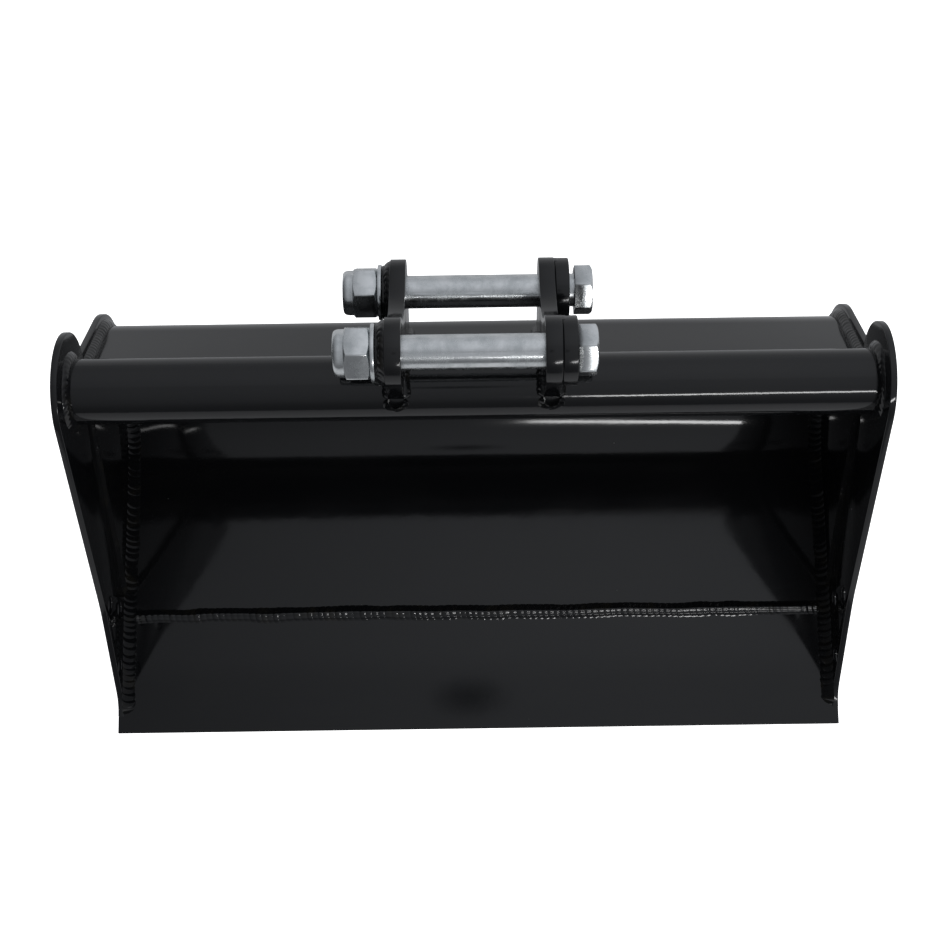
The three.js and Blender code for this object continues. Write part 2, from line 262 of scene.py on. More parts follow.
# A bead along a path, on two directions given at each point. Ripples are |sin| of the distance over
# the pitch, each with its own height, lagging towards the section's two edges.
def weldBead(path, first, second, size, section, closedPath=False):
    at, along = evenly(path, size["step"])
    path = np.asarray(path, float)
    source = np.concatenate([[0], np.linalg.norm(np.diff(path, axis=0), axis=1).cumsum()])

    def carried(direction):
        direction = np.broadcast_to(direction, path.shape)
        field = np.stack([np.interp(along, source, direction[:, k]) for k in range(3)], 1)
        return field / np.linalg.norm(field, axis=1)[:, None]

    first, second = carried(first), carried(second)
    v = np.linspace(-1, 1, len(section[0]))
    phase = along / size["pitch"] + 0.35 * wander(along, 4 * size["pitch"]) + 2
    phase = phase[:, None] - size["lag"] * v[None, :] ** 2
    coin = np.floor(phase).astype(int)
    tall = draws.uniform(0.35, 1.0, coin.max() + 2)
    ripple = np.abs(np.sin(math.pi * phase)) ** size["round"] * tall[coin]
    swell = 1 + size["ripple"] * (ripple - 0.5)
    fade = np.ones(len(at))
    if not closedPath:   # ends rise as a quarter ellipse
        end = np.clip(np.minimum(along, along[-1] - along) / (0.8 * size["first"]), 0.02, 1)
        fade = np.sqrt(np.clip(1 - (1 - end) ** 2, 0.03, 1))
    legFirst = size["first"] * (1 + size["uneven"] * wander(along, 14)) * fade
    legSecond = size["second"] * (1 + size["uneven"] * wander(along, 11)) * fade
    drift = size["drift"] * wander(along, 23)
    reach = legFirst[:, None] * section[0] * (1 + 0.4 * (swell - 1)) + drift[:, None]
    top = at[:, None] + first[:, None] * reach[..., None]
    top = top + second[:, None] * (legSecond[:, None] * section[1] * swell)[..., None]
    isFillet = section[0][-1] > -0.5
    sink = 0.12 * (first + second) if isFillet else 0.12 * second
    under = 0.5 * (first + second) if isFillet else 0.7 * second
    grid = np.concatenate([top - sink[:, None], (at - under)[:, None]], 1)
    rows, cols = grid.shape[:2]
    faces = gridQuads(rows, cols, True, closedPath).tolist()
    if not closedPath:
        faces += [list(range(cols)), list(range((rows - 1) * cols, rows * cols))]
    return grid.reshape(-1, 3), faces


# Several solids become one piece.
def joined(parts):
    verts, faces, start = [], [], 0
    for partVerts, partFaces in parts:
        verts.append(np.asarray(partVerts))
        faces += [[k + start for k in face] for face in partFaces]
        start += len(partVerts)
    return np.concatenate(verts), faces


def alongX(profile, x):   # side-profile points at one x, as rows of x, y, z
    return np.column_stack([np.full(len(profile), x), profile])


print("shapes ready")


# Node groups used by several finishes.

def newGroup(name, inputs, outputs):
    group = bpy.data.node_groups.new(name, "ShaderNodeTree")
    for title, kind, value in inputs:
        socket = group.interface.new_socket(title, in_out="INPUT", socket_type=kind)
        socket.default_value = value
    for title, kind in outputs:
        group.interface.new_socket(title, in_out="OUTPUT", socket_type=kind)
    return group, group.nodes.new("NodeGroupInput"), group.nodes.new("NodeGroupOutput")


def addNode(tree, kind, **values):
    node = tree.nodes.new(kind)
    for key, value in values.items():
        if isinstance(value, dict):
            for socket, setting in value.items():
                node.inputs[socket].default_value = setting
        else:
            setattr(node, key, value)
    return node


def mathNode(tree, operation, a, b=None, clamp=False):
    node = addNode(tree, "ShaderNodeMath", operation=operation, use_clamp=clamp)
    for index, value in enumerate((a, b)):
        if isinstance(value, (int, float)):
            node.inputs[index].default_value = value
        elif value is not None:
            tree.links.new(value, node.inputs[index])
    return node.outputs[0]


def noiseNode(tree, vector, scale, detail=3.0, roughness=0.55):
    settings = {"Scale": scale, "Detail": detail, "Roughness": roughness}
    node = addNode(tree, "ShaderNodeTexNoise", inputs=settings)
    tree.links.new(vector, node.inputs["Vector"])
    return node.outputs["Fac"]


def rampNode(tree, value, stops):
    node = addNode(tree, "ShaderNodeValToRGB")
    ramp = node.color_ramp
    while len(ramp.elements) < len(stops):
        ramp.elements.new(0.5)
    for element, (position, shade) in zip(ramp.elements, stops):
        element.position = position
        element.color = (shade, shade, shade, 1) if isinstance(shade, float) else (*shade, 1)
    tree.links.new(value, node.inputs["Fac"])
    return node.outputs["Color"]


# Height of sprayed paint in micrometres: fine orange peel, a slower sag in the film and a slow wave
# in the plate, each a noise times its own depth.
def makePaintSkin():
    group, given, made = newGroup(
        "paintSkin",
        [("Vector", "NodeSocketVector", (0, 0, 0)), ("Peel", "NodeSocketFloat", 3.0),
         ("Sag", "NodeSocketFloat", 30.0), ("Wave", "NodeSocketFloat", 120.0)],
        [("Height", "NodeSocketFloat")])
    vector = given.outputs["Vector"]
    peel = mathNode(group, "MULTIPLY", noiseNode(group, vector, 520.0, 2.0), given.outputs["Peel"])
    sag = mathNode(group, "MULTIPLY", noiseNode(group, vector, 95.0, 2.0), given.outputs["Sag"])
    wave = mathNode(group, "MULTIPLY", noiseNode(group, vector, 16.0, 1.0), given.outputs["Wave"])
    total = mathNode(group, "ADD", mathNode(group, "ADD", peel, sag), wave)
    group.links.new(total, made.inputs["Height"])
    return group


# Mask of small dull specks: points of a cell pattern nearer than a radius, thinned by a slow noise.
def makeDust():
    group, given, made = newGroup(
        "dust",
        [("Vector", "NodeSocketVector", (0, 0, 0)), ("Scale", "NodeSocketFloat", 160.0),
         ("Amount", "NodeSocketFloat", 0.5)],
        [("Mask", "NodeSocketFloat")])
    cells = addNode(group, "ShaderNodeTexVoronoi")
    group.links.new(given.outputs["Vector"], cells.inputs["Vector"])
    group.links.new(given.outputs["Scale"], cells.inputs["Scale"])
    near = mathNode(group, "LESS_THAN", cells.outputs["Distance"], 0.04)
    patch = noiseNode(group, given.outputs["Vector"], 37.0)
    thin = mathNode(group, "LESS_THAN", patch, given.outputs["Amount"])
    group.links.new(mathNode(group, "MULTIPLY", near, thin), made.inputs["Mask"])
    return group


# Mask of faint wiped smears: noise drawn out along x, kept where a second noise is high.
def makeSmears():
    group, given, made = newGroup(
        "smears",
        [("Vector", "NodeSocketVector", (0, 0, 0)), ("Amount", "NodeSocketFloat", 0.5)],
        [("Mask", "NodeSocketFloat")])
    drawn = addNode(group, "ShaderNodeMapping", inputs={"Scale": (6.0, 60.0, 60.0)})
    group.links.new(given.outputs["Vector"], drawn.inputs["Vector"])
    streak = noiseNode(group, drawn.outputs["Vector"], 1.0, 5.0, 0.65)
    patch = noiseNode(group, given.outputs["Vector"], 9.0, 2.0)
    both = mathNode(group, "MULTIPLY", streak, patch)
    shaped = mathNode(group, "MULTIPLY", mathNode(group, "SUBTRACT", both, 0.22, True), 3.0, True)
    group.links.new(mathNode(group, "MULTIPLY", shaped, given.outputs["Amount"]), made.inputs["Mask"])
    return group


paintSkin, dust, smears = makePaintSkin(), makeDust(), makeSmears()


def placeGroup(tree, group, vector, **values):
    node = addNode(tree, "ShaderNodeGroup", node_tree=group)
    for title, value in values.items():
        node.inputs[title].default_value = value
    tree.links.new(vector, node.inputs["Vector"])
    return node.outputs[0]


def newMaterial(name):
    material = bpy.data.materials.new(name)
    material.use_nodes = True
    tree = material.node_tree
    shader = tree.nodes["Principled BSDF"]
    where = tree.nodes.new("ShaderNodeTexCoord").outputs["Object"]
    return material, tree, shader, where


def bumpFrom(tree, height, shader, strength, distance):
    bump = addNode(tree, "ShaderNodeBump", inputs={"Strength": strength, "Distance": distance})
    tree.links.new(height, bump.inputs["Height"])
    tree.links.new(bump.outputs["Normal"], shader.inputs["Normal"])


# Mixes two colours or grey values by a mask.
def mixColours(tree, mask, low, high):
    node = addNode(tree, "ShaderNodeMix", data_type="RGBA")
    tree.links.new(mask, node.inputs[0])
    for index, value in ((6, low), (7, high)):
        if isinstance(value, tuple):
            node.inputs[index].default_value = (*value, 1)
        else:
            tree.links.new(value, node.inputs[index])
    return node.outputs[2]


# Finishes.

paintLook = dict(colour=(0.0062, 0.0065, 0.0074), worn=(0.0095, 0.0095, 0.0098), dust=(0.11, 0.11, 0.105),
                 gloss=0.085, smeared=0.16, dusty=0.40)


# Gloss black paint: near-black film, roughness from 'gloss' up to 'smeared' under the smears, a few
# dust specks, and the paint skin as bump.
def makePaint(name, peel=3.0, sag=26.0, wave=120.0, tint=None, dustAmount=None, roughAdd=0.0):
    material, tree, shader, where = newMaterial(name)
    smear = placeGroup(tree, smears, where, Amount=1.0)
    specks = placeGroup(tree, dust, where, Scale=70.0, Amount=dustAmount or paintLook["dusty"])
    film = mixColours(tree, smear, paintLook["colour"], paintLook["worn"])
    if tint:
        patches = rampNode(tree, noiseNode(tree, where, 70.0, 3.0), [(0.52, 0.0), (0.68, 1.0)])
        film = mixColours(tree, patches, film, tint)
    tree.links.new(mixColours(tree, specks, film, paintLook["dust"]), shader.inputs["Base Color"])
    low = paintLook["gloss"] + roughAdd
    cloud = mathNode(tree, "MULTIPLY", noiseNode(tree, where, 22.0, 4.0), 0.03)
    rough = mathNode(tree, "ADD", mathNode(tree, "MULTIPLY", smear, paintLook["smeared"] - low), cloud)
    rough = mathNode(tree, "ADD", rough, mathNode(tree, "MULTIPLY", specks, 0.4))
    tree.links.new(mathNode(tree, "ADD", rough, low - 0.015), shader.inputs["Roughness"])
    height = placeGroup(tree, paintSkin, where, Peel=peel, Sag=sag, Wave=wave)
    bumpFrom(tree, height, shader, 1.0, 0.000001)   # micrometres
    return material


zincLook = dict(colour=(0.82, 0.84, 0.85), dull=(0.62, 0.65, 0.66), rough=0.17, matt=0.34)


# Zinc plate: cool metal with cloudy dull patches. A stretch below one off the x axis draws turning
# marks round the pin, and a stretch of one all ways gives an even forged grain.
def makeZinc(name, stretch, grain, strength):
    material, tree, shader, where = newMaterial(name)
    shader.inputs["Metallic"].default_value = 1.0
    cloud = rampNode(tree, noiseNode(tree, where, 85.0, 5.0, 0.62), [(0.38, 0.0), (0.66, 1.0)])
    shade = mixColours(tree, cloud, zincLook["colour"], zincLook["dull"])
    tree.links.new(shade, shader.inputs["Base Color"])
    drawn = addNode(tree, "ShaderNodeMapping", inputs={"Scale": stretch})
    tree.links.new(where, drawn.inputs["Vector"])
    marks = noiseNode(tree, drawn.outputs["Vector"], grain, 5.0, 0.68)
    spread = mathNode(tree, "MULTIPLY", cloud, zincLook["matt"] - zincLook["rough"])
    scatter = mathNode(tree, "MULTIPLY", marks, 0.12)
    rough = mathNode(tree, "ADD", mathNode(tree, "ADD", spread, scatter), zincLook["rough"] - 0.06)
    tree.links.new(rough, shader.inputs["Roughness"])
    bumpFrom(tree, marks, shader, strength, 0.00006)
    return material


nylonLook = dict(dark=(0.50, 0.58, 0.62), pale=(0.62, 0.68, 0.70), rough=0.38)


# Pale blue nylon with a fine mottle.
def makeNylon(name):
    material, tree, shader, where = newMaterial(name)
    shade = noiseNode(tree, where, 300.0, 3.0)
    colour = mixColours(tree, shade, nylonLook["dark"], nylonLook["pale"])
    tree.links.new(colour, shader.inputs["Base Color"])
    rough = mathNode(tree, "ADD", mathNode(tree, "MULTIPLY", shade, 0.2), nylonLook["rough"])
    tree.links.new(rough, shader.inputs["Roughness"])
    bumpFrom(tree, shade, shader, 0.3, 0.0002)
    return material


plateBlack = makePaint("plateBlack")
tubeBlack = makePaint("tubeBlack", peel=9.0, sag=60.0, wave=60.0)
earBlack = makePaint("earBlack", peel=10.0, sag=50.0, wave=60.0, roughAdd=0.05)
beadBlack = makePaint("beadBlack", peel=12.0, sag=110.0, wave=0.0, tint=(0.013, 0.012, 0.010),
                      dustAmount=0.3)
pinZinc = makeZinc("pinZinc", (1.0, 0.12, 0.12), 900.0, 0.9)
headZinc = makeZinc("headZinc", (1.0, 1.0, 1.0), 420.0, 0.8)
nutZinc = makeZinc("nutZinc", (1.0, 1.0, 1.0), 520.0, 0.55)
insertNylon = makeNylon("insertNylon")
print("finishes ready")


# Cutting edge.

lipSize = dict(nose=3.0, bevel=26.0, rim=0.7)


# Every corner of a polygon becomes a small quadratic curve that starts and ends 'reach' from it.
def roundCorners(shape, reach):
    runs = []
    for before, corner, after in zip(np.roll(shape, 1, 0), shape, np.roll(shape, -1, 0)):
        away = [before - corner, after - corner]
        start, end = [corner + reach * way / np.linalg.norm(way) for way in away]
        runs.append(bow(start, corner, end, 5))
    return outline(*runs)


# A flat bar with a low nose and a bevel underneath, carried across the bucket.
def makeCuttingEdge():
    shape = outline([0, 0], [0, -lipSize["nose"]], [lipSize["bevel"], -lipThickness],
                    [seamY, -lipThickness], [seamY, 0])
    rounded = roundCorners(shape, lipSize["rim"])
    addPiece("cuttingEdge", plate([rounded], -halfWidth, halfWidth, lipSize["rim"]), "bucket",
             plateBlack, ["cutting_edge"], crease=30.0)


makeCuttingEdge()


# Shell: floor, heel bend, straight panel, wall bend and back wall.

shellSize = dict(heel=(225.4, 63.0), heelRadius=70.0, wallBend=(273.4, 79.9), wallBendRadius=48.0, thick=5.0,
                 panel=math.radians(-45), wallLean=math.radians(38.67))
wallBendAt = np.array(shellSize["wallBend"])
wallOut = unit(shellSize["wallLean"])   # outward normal of the back wall
wallUp = np.array([-wallOut[1], wallOut[0]])
wallOuter = wallBendAt @ wallOut + shellSize["wallBendRadius"] + shellSize["thick"]
toHeel = np.array(shellSize["heel"]) - (seamY, 0)
floorFall = math.atan2(*toHeel) - math.acos(shellSize["heelRadius"] / np.linalg.norm(toHeel))
floorAngle = -math.pi / 2 - floorFall   # where the heel bend meets the floor


# Where a line parallel to the back wall meets a circle round the tube, below it.
def wallMeetsTube(offset, radius):
    across = offset - tubeAt @ wallOut
    return tubeAt + wallOut * across - wallUp * math.sqrt(radius ** 2 - across ** 2)


# The line at a distance inwards from the shell's inner face: points on the floor, then both bends
# from an angle on the first, then up to the tube.
def shellLine(inwards, clearOfTube, floorY, fromAngle=floorAngle):
    wallEnd = wallMeetsTube(wallOuter - shellSize["thick"] - inwards, clearOfTube)
    heelArc = arc(shellSize["heel"], shellSize["heelRadius"] - inwards, fromAngle, shellSize["panel"])
    wallRadius = shellSize["wallBendRadius"] - inwards
    wallArc = arc(wallBendAt, wallRadius, shellSize["panel"], shellSize["wallLean"])
    floor = np.array([(y, inwards) for y in floorY]).reshape(-1, 2)
    return np.concatenate([floor, heelArc, wallArc, [wallEnd]])


# The band between the inner line and the one a plate's thickness outside it.
def makeShell():
    inner = shellLine(0.0, tubeRadius - touch, [seamY - touch])
    outer = shellLine(-shellSize["thick"], tubeRadius - touch, [seamY - touch])
    shape = outline(inner, outer[::-1])
    addPiece("bucketShell", plate([shape], -sideIn - touch, sideIn + touch, 0.1), "bucket",
             plateBlack, ["bucket_shell"], crease=30.0)


makeShell()


# Torsion tube.

tubeSize = dict(wall=4.0, steps=160)


# A pipe: its outside out and its bore back, turned round the tube's axis.
def makeTube():
    end, bore = sideIn + touch, tubeRadius - tubeSize["wall"]
    corners = [(-end, tubeRadius), (end, tubeRadius), (end, bore), (-end, bore)]
    x, radius = stations(corners, tubeSize["steps"])
    addPiece("torsionTube", turnedSurface(x, radius, tubeAt, True)[:2], "bucket",
             tubeBlack, ["torsion_tube"])


makeTube()


# Side plates.

sideSize = dict(toe=(14.0, 0.0), toeBend=(25.0, 1.3), toeEnd=(33.0, 9.0), knee=(98.0, 73.0),
                kneeReach=12.5, lobe=44.0, seamFoot=112.0, seamHead=math.radians(-88),
                notch=math.radians(-36.8), margin=9.7, heel=(261.9, 8.0), heelRadius=20.0, hole=7.0,
                holes=((54.9, 19.0), (101.5, 25.0), (102.7, 59.0)), rim=0.7)
seamHeadAt = tubeAt + sideSize["lobe"] * unit(sideSize["seamHead"])
seamFootAt = np.array([sideSize["seamFoot"], 0.0])


# Front strip: a curved toe, a line with a slight knee, the arc round the tube and the sloping seam.
# Rear plate: a flat bottom, then arcs that follow the shell at a margin, up to the same seam.
def makeSidePlates():
    knee, toeEnd = np.array(sideSize["knee"]), np.array(sideSize["toeEnd"])
    below = knee + (toeEnd - knee) / np.linalg.norm(toeEnd - knee) * sideSize["kneeReach"]
    toTube = tubeAt - knee
    rise = math.atan2(toTube[1], toTube[0]) + math.asin(sideSize["lobe"] / np.linalg.norm(toTube))
    above = knee + sideSize["kneeReach"] * unit(rise)
    front = outline(
        bow(sideSize["toe"], sideSize["toeBend"], toeEnd), bow(below, knee, above),
        arc(tubeAt, sideSize["lobe"], rise + math.pi / 2, sideSize["seamHead"]), seamFootAt)
    holes = [roundHole(hole, sideSize["hole"]) for hole in sideSize["holes"]]
    rear = outline(
        [seamY, 0.0], [seamY, -lipThickness],
        arc(sideSize["heel"], sideSize["heelRadius"], -math.pi / 2, shellSize["panel"]),
        arc(wallBendAt, wallOuter - wallBendAt @ wallOut + sideSize["margin"], shellSize["panel"],
            shellSize["wallLean"]),
        arc(tubeAt, sideSize["lobe"], sideSize["notch"], sideSize["seamHead"]), seamFootAt)
    for side, sign in (("Left", -1), ("Right", 1)):
        ends = sorted((sign * sideIn, sign * halfWidth))
        addPiece("sideCutter" + side, plate([front] + holes, *ends, sideSize["rim"]), "bucket",
                 plateBlack, ["side_cutter_" + side.lower()])
        addPiece("sidePlate" + side, plate([rear], *ends, sideSize["rim"]), "bucket",
                 plateBlack, ["side_plate_" + side.lower()])


makeSidePlates()
print("pan ready")


# Ears and bosses.

earSize = dict(lobe=24.98, waist=72.0, foot=math.radians(122), bore=12.8, rim=0.8)
earIn, earOut = reachX("ear_right")


# Saddled over the tube, round both pins, with a hollow arc that touches both rounds between them.
def earShape():
    foot = tubeAt + (tubeRadius - touch) * unit(earSize["foot"])
    toPin = pinAt["front"] - foot
    lean = math.atan2(toPin[1], toPin[0]) + math.asin(earSize["lobe"] / np.linalg.norm(toPin))
    heel = pinAt["rear"] - wallUp * earSize["lobe"]
    heelFoot = heel + wallOut * (wallOuter - touch - heel @ wallOut)
    wallEnd = wallMeetsTube(wallOuter - touch, tubeRadius - touch)
    fromTube = wallEnd - tubeAt
    toRear = pinAt["rear"] - pinAt["front"]
    rearward = math.atan2(toRear[1], toRear[0])
    reach = earSize["lobe"] + earSize["waist"]
    spread = math.acos(np.linalg.norm(toRear) / 2 / reach)
    frontTouch, rearTouch = rearward + spread, rearward + math.pi - spread
    hollow = pinAt["front"] + reach * unit(frontTouch)
    return outline(
        arc(pinAt["front"], earSize["lobe"], lean + math.pi / 2, frontTouch),
        arc(hollow, earSize["waist"], frontTouch + math.pi, rearTouch + math.pi),
        arc(pinAt["rear"], earSize["lobe"], rearTouch, shellSize["wallLean"] - math.pi / 2),
        heelFoot, wallEnd,
        arc(tubeAt, tubeRadius - touch, math.atan2(fromTube[1], fromTube[0]), earSize["foot"]))


def makeEars():
    shape = earShape()
    bores = [roundHole(centre, earSize["bore"]) for centre in pinAt.values()]
    for side, sign in (("Left", -1), ("Right", 1)):
        ends = sorted((sign * earIn, sign * earOut))
        addPiece("ear" + side, plate([shape] + bores, *ends, earSize["rim"]), "bucket",
                 earBlack, ["ear_" + side.lower()])


bossSize = dict(rim=0.9, steps=120)


# A ring with quarter-round outer rims, whose length and radius are its CAD node's.
def makeBoss(place, side):
    node = place + "_boss_" + side
    low, high = cornersMm(node)
    radius, rim, steps = (high[2] - low[2]) / 2, bossSize["rim"], bossSize["steps"]
    near, far = low[0] - touch, high[0]
    if side == "left":
        near, far = low[0], high[0] + touch
    turn = np.linspace(0, math.pi / 2, 5)
    edge = [(near + rim * (1 - math.cos(t)), radius - rim * (1 - math.sin(t))) for t in turn]
    edge += [(far - rim * (1 - math.cos(t)), radius - rim * (1 - math.sin(t))) for t in turn[::-1]]
    x, reach = stations(edge + [(far, earSize["bore"]), (near, earSize["bore"])], steps)
    addPiece(place + "Boss" + side.title(), turnedSurface(x, reach, pinAt[place], True)[:2], "bucket",
             earBlack, [node], crease=50.0)


makeEars()
for place in ("front", "rear"):
    for side in ("left", "right"):
        makeBoss(place, side)
print("ears ready")


# Pins.

pinSize = dict(radius=12.5, thread=11.9, threadFrom=-66.0, pitch=3.0, cut=1.5, flats=34.0, head=14.0,
               chamfer=16.2, tipBevel=1.6, steps=240,
               turn=dict(front=math.radians(123.9), rear=math.radians(122.4)))


# Radius of a right-hand thread: a trapezoid wave of x over the pitch, less the turn round the axis.
def threadRadius(x, outer, cut, pitch, steps):
    angle = np.arange(steps) / steps
    wave = np.abs(((x[:, None] / pitch - angle) % 1) - 0.5) * 2
    return outer - cut * np.clip((1 - wave) * 1.5 - 0.25, 0, 1)


# A turned bar: bevelled tip, thread, shank, then a head whose radius is the hexagon's, with each end
# chamfered by 30 degrees at the corners.
def makePin(place):
    steps, from0 = pinSize["steps"], pinSize["threadFrom"]
    low, high = reachX(place + "_pin")
    hexagon = hexagonRadius(pinSize["flats"], pinSize["turn"][place], steps)
    bevel = (hexagon - pinSize["chamfer"]) * math.tan(math.radians(30))
    headStart = high - pinSize["head"]
    threadX = np.arange(low + pinSize["tipBevel"], from0, 0.3)
    thread = threadRadius(threadX, pinSize["thread"], pinSize["cut"], pinSize["pitch"], steps)
    tip = stations([(low, 8.0), (low, pinSize["thread"] - pinSize["cut"])], steps)
    shank = stations([(from0 + 0.6, pinSize["radius"] - 0.4), (from0 + 1.2, pinSize["radius"])]
                     + [(x, pinSize["radius"]) for x in np.linspace(from0 + 2, headStart, 24)], steps)
    head = stations([(headStart, 16.2), (headStart + 0.25, hexagon - 0.25), (headStart + 0.55, hexagon),
                     (high - bevel - 0.3, hexagon), (high - bevel + 0.05, hexagon - 0.12),
                     (high - 0.14, pinSize["chamfer"] + 0.25), (high, pinSize["chamfer"] - 0.2),
                     (high, 6.0)], steps)
    x = np.concatenate([tip[0], np.broadcast_to(threadX[:, None], thread.shape), shank[0], head[0]])
    radius = np.concatenate([tip[1], thread, shank[1], head[1]])
    piece = addPiece(place + "Pin", turnedSurface(x, radius, pinAt[place], False), place + "_pin",
                     pinZinc, [place + "_pin"], crease=40.0)
    piece.data.materials.append(headZinc)
    startsHead = np.array([polygon.center[0] for polygon in piece.data.polygons]) / mm > headStart
    piece.data.polygons.foreach_set("material_index", startsHead.astype(np.int32))


# Lock nuts, with the nylon ring in the collar and a washer behind.

nutSize = dict(flats=36.0, hexLength=18.5, collar=17.0, dome=5.2, chamfer=17.2, bore=12.2, thread=1.5,
               pocket=14.7, insertOut=14.4, pitch=3.0, steps=240,
               turn=dict(front=math.radians(136.3), rear=math.radians(140.4)))
washerSize = dict(rim=0.5, steps=120)


# Turned the same way: domed collar, chamfered hexagon, then back through the threaded bore to the
# pocket that holds the nylon ring.
def makeNut(place):
    steps = nutSize["steps"]
    low, high = reachX(place + "_nut")
    insertLow, insertHigh = reachX(place + "_nut_insert")
    hexagon = hexagonRadius(nutSize["flats"], nutSize["turn"][place], steps)
    bevel = (hexagon - nutSize["chamfer"]) * math.tan(math.radians(30))
    hexStart = high - nutSize["hexLength"]
    collar, pocket, crimp = nutSize["collar"], nutSize["pocket"], nutSize["dome"]
    turn = np.linspace(0.12, math.pi / 2, 9)
    dome = [(low + crimp * (1 - math.cos(t)) * 0.9, collar - 2.4 * (1 - math.sin(t))) for t in turn]
    outside = stations(
        [(low + 0.25, pocket - 0.9), (low, pocket - 0.2), (low, pocket - 0.1)] + dome
        + [(hexStart - 0.5, collar), (hexStart - 0.1, collar + 0.1),
           (hexStart + 0.1, nutSize["chamfer"] - 0.1), (hexStart + bevel - 0.05, hexagon - 0.12),
           (hexStart + bevel + 0.3, hexagon),
           (high - bevel - 0.3, hexagon), (high - bevel + 0.05, hexagon - 0.12),
           (high - 0.12, nutSize["chamfer"] + 0.2), (high, nutSize["chamfer"] - 0.2),
           (high, nutSize["bore"] + 1.3), (high - 1.2, nutSize["bore"])], steps)
    boreX = np.arange(high - 1.5, insertHigh + 0.6, -0.3)
    root, cut = nutSize["bore"] + nutSize["thread"], nutSize["thread"]
    bore = np.maximum(threadRadius(boreX, root, cut, nutSize["pitch"], steps), nutSize["bore"])
    inside = stations([(insertHigh + 0.3, nutSize["bore"] + 0.2), (insertHigh + 0.3, pocket),
                       (low + 0.6, pocket)], steps)
    x = np.concatenate([outside[0], np.broadcast_to(boreX[:, None], bore.shape), inside[0]])
    radius = np.concatenate([outside[1], bore, inside[1]])
    addPiece(place + "Nut", turnedSurface(x, radius, pinAt[place], True)[:2], place + "_nut",
             nutZinc, [place + "_nut"], crease=40.0)
    x, radius = stations([(insertLow + 0.5, nutSize["bore"] + 0.4), (insertLow + 0.3, nutSize["bore"] + 0.9),
                          (insertLow + 0.3, nutSize["insertOut"]), (insertHigh, nutSize["insertOut"]),
                          (insertHigh, nutSize["bore"]), (insertLow + 1.0, nutSize["bore"])], 96)
    addPiece(place + "NutInsert", turnedSurface(x, radius, pinAt[place], True)[:2], place + "_nut",
             insertNylon, [place + "_nut_insert"])


# A flat ring with its outer rims broken.
def makeWasher(place):
    low, high = cornersMm(place + "_nut_washer")
    outer, rim = (high[2] - low[2]) / 2, washerSize["rim"]
    x, radius = stations([(low[0], outer - rim), (low[0] + 0.15, outer - 0.15), (low[0] + rim, outer),
                          (high[0] - rim, outer), (high[0] - 0.15, outer - 0.15), (high[0], outer - rim),
                          (high[0], earSize["bore"]), (low[0], earSize["bore"])], washerSize["steps"])
    addPiece(place + "Washer", turnedSurface(x, radius, pinAt[place], True)[:2], place + "_washer",
             nutZinc, [place + "_nut_washer"])


for place in ("front", "rear"):
    makePin(place)
    makeNut(place)
    makeWasher(place)
print("pins ready")


# Weld beads.

cornerBead = dict(step=0.5, pitch=5.5, lag=0.5, ripple=0.11, round=0.8, uneven=0.06, drift=0.0,
                  first=9.4, second=9.2)
outerBead = dict(cornerBead, first=6.0, second=6.0, pitch=4.6)
seamBead = dict(step=0.45, pitch=5.2, lag=0.4, ripple=0.20, round=0.7, uneven=0.10, drift=0.7,
                first=6.2, second=3.0)
cutterBead = dict(step=0.45, pitch=4.6, lag=0.5, ripple=0.22, round=0.7, uneven=0.14, drift=0.4,
                  first=5.2, second=2.8)
tackBead = dict(step=0.45, pitch=2.8, lag=0.5, ripple=0.3, round=0.6, uneven=0.16, drift=0.3,
                first=2.6, second=0.9)
tubeBead = dict(cornerBead, first=6.4, second=4.6, pitch=4.4, uneven=0.12)
earBead = dict(cornerBead, first=5.0, second=4.6, pitch=4.2, uneven=0.12, ripple=0.16)
footBead = dict(earBead, first=6.0, second=6.0)
bossBead = dict(cornerBead, first=3.3, second=5.0, pitch=5.0, uneven=0.16, ripple=0.24)
flatFillet, roundFillet = filletSection(15, 1.9), filletSection(13, 1.35)
cap, seam = capSection(13), seamSection(33)


# Unit normals to the left of a side-profile line, as x, y, z rows.
def leftOf(line):
    run = np.gradient(line, axis=0)
    run /= np.linalg.norm(run, axis=1)[:, None]
    return np.column_stack([np.zeros(len(line)), -run[:, 1], run[:, 0]])


# Finer points along a line, so that directions turn smoothly round its bends.
def fine(line, step=2.0):
    return evenly(line, step)[0]


# Straight across the floor, over the joint of cutting edge and shell.
def makeSeamWeld():
    end = sideIn - 5.0
    path = np.array([[-end, seamY - 0.3, 0.0], [end, seamY - 0.3, 0.0]])
    addPiece("lipSeamWeld", weldBead(path, (0, 1, 0), (0, 0, 1), seamBead, seam), "bucket",
             beadBlack, ["lip_seam_weld"])


